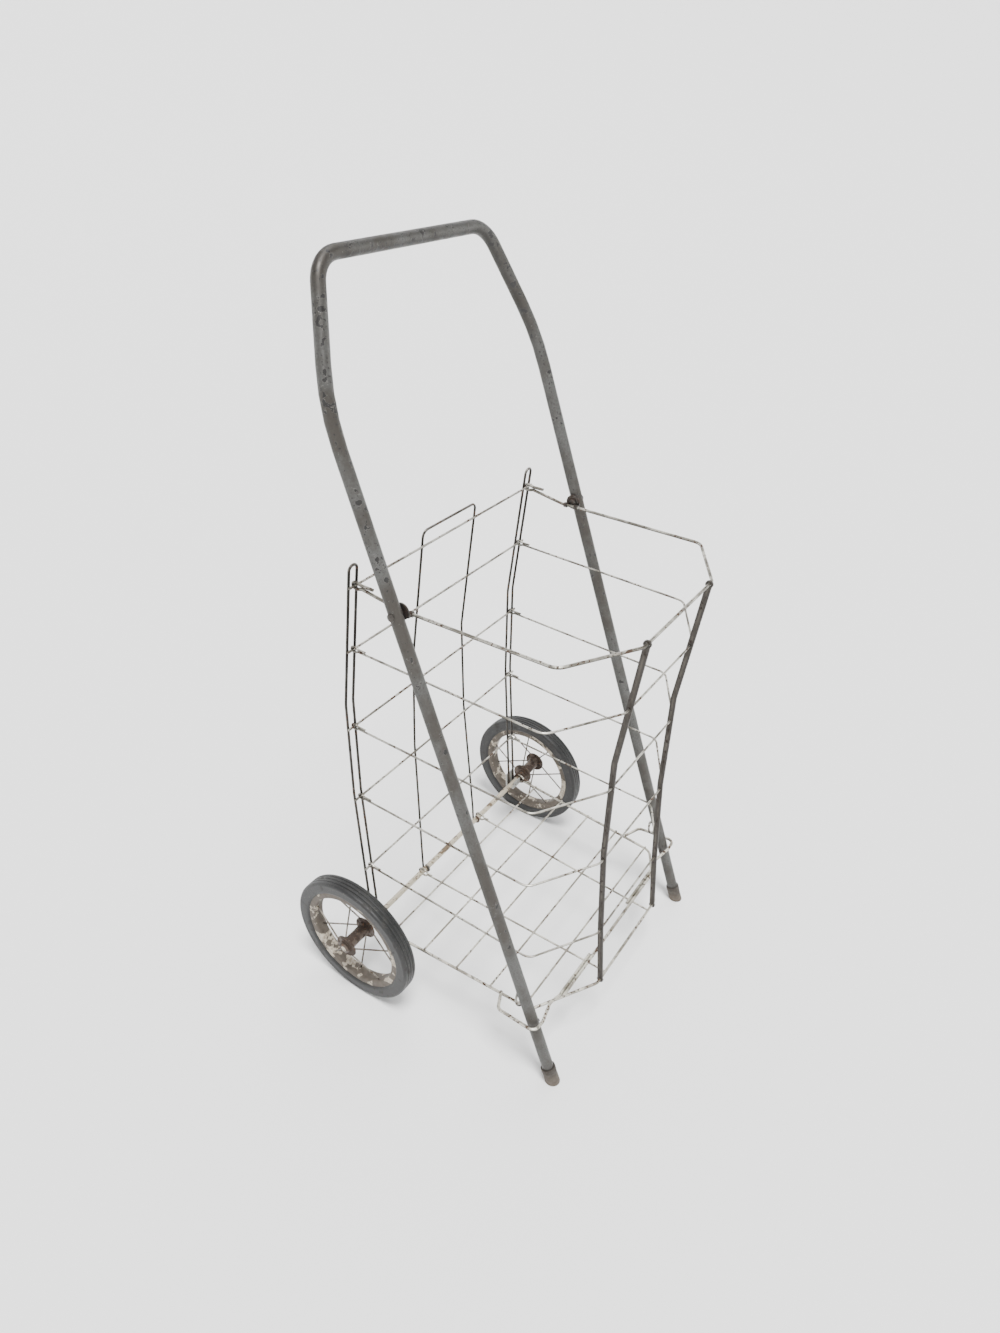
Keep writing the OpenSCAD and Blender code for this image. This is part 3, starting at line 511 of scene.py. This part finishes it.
axle_film = old_plate("axle_steel", (0.46, 0.41, 0.32), (0.14, 0.10, 0.065), (0.04, 0.024, 0.014), 0.52)
zinc = old_plate("clip_zinc", (0.34, 0.34, 0.32), (0.20, 0.19, 0.17), (0.10, 0.07, 0.05), 0.55)
iron = old_plate("hub_steel", (0.075, 0.055, 0.042), (0.035, 0.022, 0.015), (0.11, 0.055, 0.028), 0.45)
path = np.linspace([axle_lo.x, axle_y, axle_z], [axle_hi.x, axle_y, axle_z], 160)
piece("axle_rod", [carry(path, axle_r, 28)], axle_film, "rear_frame", "axle_steel", "axle")
for name, sx in (("left", -1), ("right", 1)):
    clip = frame["nodes"]["axle_clip_" + name]
    clip.data.materials.clear()
    clip.data.materials.append(zinc)
    lo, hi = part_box("axle_collar_" + name)
    inner, span, r = (lo.x if sx > 0 else hi.x), hi.x - lo.x, (hi.z - lo.z) / 2
    bore = axle_r + 0.00002
    profile = [(0, bore), (0, r * 0.9), (0.0007, r), (span * 0.3, r),
               (span * 0.4, r * 0.93), (span * 0.6, r * 0.93),
               (span * 0.7, r), (span - 0.0007, r), (span, r * 0.9), (span, bore)]
    piece("spacer_" + name, [spin(profile, [inner, axle_y, axle_z], [sx, 0, 0], 40, True)], iron,
          "rear_frame", "hub_steel", "axle_collar_" + name)
    lo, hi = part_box("axle_nut_" + name)
    inner, span, r = (lo.x if sx > 0 else hi.x), hi.x - lo.x, (hi.z - lo.z) / 2
    profile = [(0, bore), (0, r * 0.96), (0.0004, r), (0.0010, r), (0.0014, r * 0.9), (span * 0.7, r * 0.72),
               (span * 0.95, r * 0.6), (span, r * 0.5), (span, bore)]
    piece("push_cap_" + name, [spin(profile, [inner, axle_y, axle_z], [sx, 0, 0], 40, True)], iron,
          "rear_frame", "hub_steel", "axle_nut_" + name)


# ---- basket rings ----
# Five wire rings, each with an eye curled round a level wire of the back and its end
# doubled back on top. The top one is heavier and falls from its eyes to the legs.

def eye(hinge_y, hinge_z, x, ring_r, w, tail=0.018):
    """Points and bend radii of an eye round a hinge, tail end first."""
    q = [(-tail, w + 0.00012), (-ring_r - 3 * w, w + 0.00012), (-ring_r, ring_r), (ring_r, ring_r),
         (ring_r, -ring_r), (-ring_r, -ring_r), (-ring_r - 3 * w, -w - 0.00012)]
    return [[x, hinge_y + a, hinge_z + b] for a, b in q], [ring_r] * 6


def whole(side, radii):
    """A half path and its mirror image joined across the middle plane."""
    return side + [[-x, y, z] for x, y, z in side[::-1]], radii + radii[::-1]


reach, bend_reach, front_x, corner, drop = 0.314, 0.262, 0.088, 0.016, 0.010
gap, half, bend_half, heavy_tail = 0.00035, 0.177, 0.1745, 0.026
w = 0.002
front_z = back[0].z - drop
side, radii = eye(back[0].y, back[0].z, half, level_r + gap + w, w, heavy_tail)
level_y = pivot[1] + 0.014
side += [[half - (back[0].y - level_y) * (half - bend_half) / bend_reach, level_y, front_z],
         [bend_half, back[0].y - bend_reach, front_z], [front_x, back[0].y - reach, front_z]]
points, radii = whole(side, radii + [0.020, corner, corner])
piece("ring_heavy", [carry(walk(points, radii), w, 16, wobble=0.0001, seed=9)], ring_wire,
      "top_ring", "ring_wire", "top_ring")
for k in range(2, 6):
    w = 0.0014
    side, radii = eye(back[k - 1].y, back[k - 1].z, half, level_r + gap + w, w)
    side += [[bend_half, back[k - 1].y - bend_reach, back[k - 1].z - drop * bend_reach / reach],
             [front_x, back[k - 1].y - reach, back[k - 1].z - drop]]
    points, radii = whole(side, radii + [corner, corner])
    piece("ring_wire_%d" % k, [carry(walk(points, radii), w, 14, wobble=0.00008, seed=10 + k)], ring_wire,
          "ring_%d" % k, "ring_wire", "ring_%d" % k)


# ---- front strips ----
# Two flat steel strips with an eye at each end; the middle rings pass through holes.
# Dark paint, rubbed a little paler along the middle of each face.

def strip_steel():
    """Dark paint on flat strip: a lighter rubbed line along the middle of the face,
    found as the distance in Y from the strip's own three-part centre line."""
    m = Finish("strip_steel")
    y, z = m.axis("Y"), m.axis("Z")
    lines = []
    for (ya, za), (yb, zb) in (((back[0].y, back[0].z), (back[2].y, belly_high)),
                               ((back[2].y, belly_high), (back[2].y, belly_low)),
                               ((back[2].y, belly_low), (back[4].y, back[4].z))):
        grade = (ya - yb) / (za - zb)
        lines.append(m.sum(m.sum(m.sum(z, zb - drop, "SUBTRACT"), grade, "MULTIPLY"), yb - reach))
    line = m.sum(m.sum(lines[0], lines[1], "MINIMUM"), lines[2], "MINIMUM")
    off = m.sum(y, line, "SUBTRACT")
    n = m.add("ShaderNodeMath", operation="ABSOLUTE")
    m.wire(off, n.inputs[0])
    rub = m.between(m.sum(n.outputs[0], m.sum(m.noise(60, 4), 0.002, "MULTIPLY")), 0.0012, 0.0030, 1.0, 0.0)
    patch = m.between(m.noise(30, 4, 0.55, 3.0), 0.35, 0.6)
    color = m.mix(m.sum(rub, patch, "MULTIPLY"), (0.032, 0.027, 0.022), (0.085, 0.075, 0.064))
    chip = m.between(m.noise(180, 3, 0.5, 8.0), 0.60, 0.64)
    color = m.mix(chip, color, (0.02, 0.014, 0.010))
    m.relief(m.noise(420, 4), 0.0002, 0.5)
    return m.set(base_color=color, metallic=m.between(rub, 0, 1, 0.25, 0.7),
                 roughness=m.between(rub, 0, 1, 0.55, 0.38))


dark_strip = strip_steel()
for name in ("left", "right"):
    strip = frame["nodes"]["front_strip_" + name]
    strip.data.materials.clear()
    strip.data.materials.append(dark_strip)


# ---- folding bottom ----
# A heavier wire frame with eyes on the axle, a welded grid, and at the front a crossbar
# with two loops: each leg slides in its loop while the basket folds.

bottom_wire = plated_wire("bottom_wire", (0.64, 0.61, 0.53), (0.28, 0.255, 0.21), 0.56, 41)
w = 0.002
rail_x, bend_x = 0.192, 0.176
ring_r = axle_r + gap + w
side, radii = eye(axle_y, axle_z, rail_x, ring_r, w, heavy_tail)
begin, begin_z = axle_r + gap + 4 * w, axle_z - w - 0.00012
hole_z = axle_z - drop


def rail_z(d):
    """Height of the side wire at a distance in front of the axle."""
    return begin_z - (d - begin) * (begin_z - hole_z) / (reach - begin)


def rail_half(d):
    """Half width of the side wires at a distance in front of the axle."""
    return rail_x - (d - begin) * (rail_x - bend_x) / (bend_reach - begin)


side += [[bend_x, axle_y - bend_reach, rail_z(bend_reach)], [front_x, axle_y - reach, hole_z]]
points, radii = whole(side, radii + [corner, corner])
piece("bottom_rim_wire", [carry(walk(points, radii), w, 16, wobble=0.0001, seed=20)], bottom_wire,
      "bottom", "bottom_wire", "bottom_frame")
g, grid_bead, long_rear_x, long_front_x = 0.0014, 0.00035, 0.075, 0.066
for k in range(5):
    lo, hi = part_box("cross_wire_%d" % (k + 1))
    y, z = (lo.y + hi.y) / 2, (lo.z + hi.z) / 2
    long_x = np.interp(axle_y - y, [0, reach], [long_rear_x, long_front_x])
    welds = [(hi.x + x, grid_bead, bead_len) for x in (-hi.x + 0.001, -long_x, long_x, hi.x - 0.001)]
    path = np.linspace([lo.x, y, z], [hi.x, y, z], 120)
    piece("grid_cross_%d" % (k + 1), [carry(path, g, 14, welds, 0.00008, 50 + k)], bottom_wire,
          "bottom", "bottom_wire", "cross_wire_%d" % (k + 1))
for name, sx in (("left", -1), ("right", 1)):
    points, radii = eye(axle_y, axle_z, sx * long_rear_x, axle_r + gap + g, g)
    points.append([sx * long_front_x, axle_y - reach + w - weld, rail_z(reach) + w - g])
    piece("grid_long_" + name, [carry(walk(points, radii), g, 14, wobble=0.00008, seed=60)], bottom_wire,
          "bottom", "bottom_wire", "bottom_wire_" + name)
lo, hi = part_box("crossbar")
y, z = (lo.y + hi.y) / 2, (lo.z + hi.z) / 2
heavy = (hi.z - lo.z) / 2
path = np.linspace([lo.x, y, z], [hi.x, y, z], 120)
piece("front_crossbar", [carry(path, heavy, 18, wobble=0.0001, seed=70)], bottom_wire,
      "bottom", "bottom_wire", "crossbar")
slot_rear, leg_slack = 0.219, 0.0035
tilt = math.hypot(slope, 1)
front_y = foot[1] + (axle_z + 0.004) * slope - tube_r * tilt - heavy - leg_slack
tail_y = y + 2 * heavy - 0.00003
outer_x = leg_x + tube_r + heavy + leg_slack
for name, sx in (("left", -1), ("right", 1)):
    knee_z = rail_z(slot_rear - 0.002) + w + heavy - weld
    points = [[sx * 0.056, tail_y, z],
              [sx * (leg_x - 0.055), tail_y, z],
              [sx * (leg_x - 0.038), tail_y + 0.004, z + 0.001],
              [sx * (leg_x - 0.006), front_y, z + 0.006],
              [sx * (outer_x + 0.001), front_y, z + 0.008],
              [sx * (outer_x - 0.0022), axle_y - slot_rear - 0.010, z + 0.004],
              [sx * rail_half(slot_rear - 0.002), axle_y - slot_rear + 0.002, knee_z]]
    path = walk(points, [0.006, 0.01, 0.02, 0.009, 0.009])
    piece("leg_loop_" + name, [carry(path, heavy, 18, wobble=0.0001, seed=80)], bottom_wire,
          "bottom", "bottom_wire", "leg_guide_" + name)


# ---- wheels ----
# Solid black rubber on a pressed steel rim, ten straight spokes laced to a rusty spool
# hub. Cream paint flakes off the rims; the tread is grooved and scuffed.

def tyre_rubber():
    """Black rubber: grey scuffs round the tread, dust in the grooves, faint grain."""
    m = Finish("tyre_rubber")
    scuff = m.between(m.noise(55, 6, 0.65), 0.50, 0.72)
    color = m.mix(m.sum(scuff, 0.6, "MULTIPLY"), (0.006, 0.006, 0.006), (0.030, 0.027, 0.023))
    fleck = m.between(m.noise(380, 3, 0.5, 3.0), 0.64, 0.70)
    color = m.mix(m.sum(fleck, 0.3, "MULTIPLY"), color, (0.10, 0.092, 0.08))
    m.relief(m.sum(m.noise(600, 4), m.sum(scuff, 0.6, "MULTIPLY")), 0.0003, 0.5)
    return m.set(base_color=color, roughness=m.between(scuff, 0, 1, 0.5, 0.8))


def rim_paint():
    """Pressed rim: cream paint in flakes over brown-grey metal."""
    m = Finish("rim_paint")
    flakes = m.noise(38, 5, 0.6, 2.0)
    left = m.between(flakes, 0.53, 0.555)
    bare = m.mix(m.noise(140, 4), (0.045, 0.035, 0.027), (0.13, 0.11, 0.088))
    cream = m.mix(m.between(m.noise(260, 4), 0.4, 0.65), (0.42, 0.37, 0.29), (0.22, 0.18, 0.135))
    m.relief(m.sum(left, m.sum(m.noise(500, 3), 0.3, "MULTIPLY")), 0.0003, 0.7)
    return m.set(base_color=m.mix(left, bare, cream), metallic=m.between(left, 0, 1, 0.35, 0.0),
                 roughness=m.between(left, 0, 1, 0.6, 0.5))


black, cream_rim = tyre_rubber(), rim_paint()
spoke_wire = plated_wire("spoke_wire", (0.30, 0.27, 0.23), (0.12, 0.10, 0.08), 0.58, 71)
for name, sx in (("left", -1), ("right", 1)):
    body = "wheel_" + name
    lo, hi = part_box("tyre_" + name)
    cx, wheel_r, tyre_half = (lo.x + hi.x) / 2, (hi.z - lo.z) / 2, (hi.x - lo.x) / 2
    centre = [cx, axle_y, axle_z]
    seat_r, edge_r, groove_half, groove_deep, groove_x = wheel_r - 0.019, 0.004, 0.00085, 0.0012, 0.0052
    a = np.linspace(0, math.pi / 2, 9)[1:-1]
    arc = [(tyre_half - edge_r + edge_r * math.cos(v), wheel_r - edge_r + edge_r * math.sin(v)) for v in a]
    flat = np.linspace(tyre_half - edge_r, edge_r - tyre_half, 61)
    grooves = sum(np.exp(-(((flat - g0) / groove_half) ** 4)) for g0 in (-groove_x, 0.0, groove_x))
    crown = wheel_r - 0.00002 - 0.0004 * (flat / tyre_half) ** 2 - groove_deep * grooves
    profile = [(tyre_half - 0.0030, seat_r), (tyre_half - 0.0014, seat_r + 0.0015),
               (tyre_half - 0.0004, seat_r + 0.004),
               (tyre_half - 0.0009, seat_r + 0.0085), (tyre_half, wheel_r - 0.0045)]
    profile += [(x, r - 0.0002) for x, r in arc]
    profile += list(zip(flat, crown))
    profile += [(-x, r - 0.0002) for x, r in arc[::-1]]
    profile += [(-x, r) for x, r in profile[4::-1]]
    piece("tyre_rubber_" + name, [spin(profile, centre, [1, 0, 0], 160, True)], black,
          body, "tyre_rubber", "tyre_" + name)
    lo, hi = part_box("rim_" + name)
    rim_r, rim_half = (hi.z - lo.z) / 2, (hi.x - lo.x) / 2
    deep = 0.010
    profile = [(rim_half, rim_r), (rim_half, rim_r - deep + 0.003),
               (rim_half - 0.0008, rim_r - deep + 0.0012),
               (rim_half - 0.0025, rim_r - deep + 0.0003), (rim_half - 0.0045, rim_r - deep),
               (-rim_half + 0.0045, rim_r - deep), (-rim_half + 0.0025, rim_r - deep + 0.0003),
               (-rim_half + 0.0008, rim_r - deep + 0.0012), (-rim_half, rim_r - deep + 0.003),
               (-rim_half, rim_r),
               (-rim_half + 0.0016, rim_r), (-rim_half + 0.0016, rim_r - deep + 0.0035),
               (-rim_half + 0.005, rim_r - deep + 0.0016), (rim_half - 0.005, rim_r - deep + 0.0016),
               (rim_half - 0.0016, rim_r - deep + 0.0035), (rim_half - 0.0016, rim_r)]
    piece("rim_" + name + "_painted", [spin(profile[::-1], centre, [1, 0, 0], 144, True)], cream_rim, body,
          "rim_paint", "rim_" + name)
    lo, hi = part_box("hub_" + name)
    hub_half, flange = (hi.x - lo.x) / 2, (hi.z - lo.z) / 2
    barrel = 0.010
    f0, f1 = hub_half - 0.002, hub_half - 0.0044
    profile = [(-hub_half, axle_r + 0.00006), (-hub_half, barrel * 0.9),
               (-hub_half + 0.0006, barrel), (-f0, barrel),
               (-f0, flange - 0.0006), (-f0 + 0.0006, flange), (-f1 - 0.0006, flange), (-f1, flange - 0.0006),
               (-f1, barrel * 1.05), (-f1 + 0.003, barrel * 0.92), (0, barrel * 0.86),
               (f1 - 0.003, barrel * 0.92),
               (f1, barrel * 1.05), (f1, flange - 0.0006), (f1 + 0.0006, flange), (f0 - 0.0006, flange),
               (f0, flange - 0.0006), (f0, barrel), (hub_half - 0.0006, barrel), (hub_half, barrel * 0.9),
               (hub_half, axle_r + 0.00006)]
    piece("hub_spool_" + name, [spin(profile, centre, [1, 0, 0], 64, True)], iron,
          body, "hub_steel", "hub_" + name)
    spokes = []
    for k in range(10):
        t = math.radians(36 * k) * sx
        way = np.array([0, math.sin(t), -sx * math.cos(t)])
        lean_x = sx if k % 2 == 0 else -sx
        spoke_in = np.array(centre) + way * (flange - 0.0003) + np.array([lean_x * (hub_half - 0.0032), 0, 0])
        spoke_out = np.array(centre) + way * (rim_r - deep + 0.0003) + np.array([lean_x * 0.004, 0, 0])
        spokes.append(carry(np.linspace(spoke_in, spoke_out, 30), 0.0011, 12))
    piece("spoke_set_" + name, spokes, spoke_wire, body, "spoke_wire", "spokes_" + name)


# ---- floor, light and camera ----
# A plain pale floor that rises slowly far away, under a broad soft light from above;
# the camera looks down from the left front.

count, flat_r, climb = 96, 3.0, 0.02
turn = np.arange(count) * 2 * math.pi / count
rows = [0.5, 1.5, flat_r] + [flat_r + 1.5 * k for k in range(1, 19)]
verts = [[r * math.cos(a), r * math.sin(a), climb * max(0.0, r - flat_r) ** 2] for r in rows for a in turn]
faces = [list(range(count))]
for k in range(len(rows) - 1):
    for i in range(count):
        j = (i + 1) % count
        faces.append([k * count + i, (k + 1) * count + i, (k + 1) * count + j, k * count + j])
floor_mesh = bpy.data.meshes.new("floor")
floor_mesh.from_pydata(verts, [], faces)
floor_mesh.shade_smooth()
floor = bpy.data.objects.new("floor", floor_mesh)
bpy.context.scene.collection.objects.link(floor)
ground = Finish("floor")
floor_mesh.materials.append(ground.set(base_color=(0.88, 0.88, 0.875), roughness=0.95))
world = bpy.data.worlds.new("studio")
world.use_nodes = True
tree = world.node_tree
way = tree.nodes.new("ShaderNodeTexCoord")
parts = tree.nodes.new("ShaderNodeSeparateXYZ")
sky = tree.nodes.new("ShaderNodeMapRange")
tree.links.new(way.outputs["Generated"], parts.inputs[0])
tree.links.new(parts.outputs["Z"], sky.inputs["Value"])
for key, v in (("From Min", 0.2), ("From Max", 0.9), ("To Min", 0.25), ("To Max", 0.6)):
    sky.inputs[key].default_value = v
tree.links.new(sky.outputs["Result"], tree.nodes["Background"].inputs[1])
tree.nodes["Background"].inputs[0].default_value = (0.97, 0.98, 1.0, 1)
bpy.context.scene.world = world
for name, at, spread, power in (("key", (-0.5, -0.7, 3.0), 20, 5.6), ("side", (1.6, 0.8, 2.6), 35, 1.0)):
    light = bpy.data.lights.new(name, "SUN")
    light.angle, light.energy = math.radians(spread), power
    lamp = bpy.data.objects.new(name, light)
    lamp.location = at
    lamp.rotation_mode = "QUATERNION"
    lamp.rotation_quaternion = (-Vector(at)).to_track_quat("-Z", "Y")
    bpy.context.scene.collection.objects.link(lamp)
focal, high = 884.23, 1333
yaw, pitch, roll = math.radians(55.86), math.radians(33.07), math.radians(1.08)
ahead = Vector((math.sin(yaw) * math.cos(pitch), math.cos(yaw) * math.cos(pitch), -math.sin(pitch)))
right = Vector((math.cos(yaw), -math.sin(yaw), 0))
above = right.cross(ahead)
level, upright = right, above
right = level * math.cos(roll) + upright * math.sin(roll)
above = upright * math.cos(roll) - level * math.sin(roll)
camera = bpy.data.objects.new("camera", bpy.data.cameras.new("camera"))
camera.matrix_world = Matrix((
    (right.x, above.x, -ahead.x, -0.80845), (right.y, above.y, -ahead.y, axle_y - 0.61916),
    (right.z, above.z, -ahead.z, 1.12398), (0, 0, 0, 1)))
camera.data.sensor_width = 36
camera.data.lens = camera.data.sensor_width * focal / high
camera.data.shift_x, camera.data.shift_y = 0.00575, -0.01008
camera.data.clip_start = 0.05
bpy.context.scene.collection.objects.link(camera)
bpy.context.scene.camera = camera
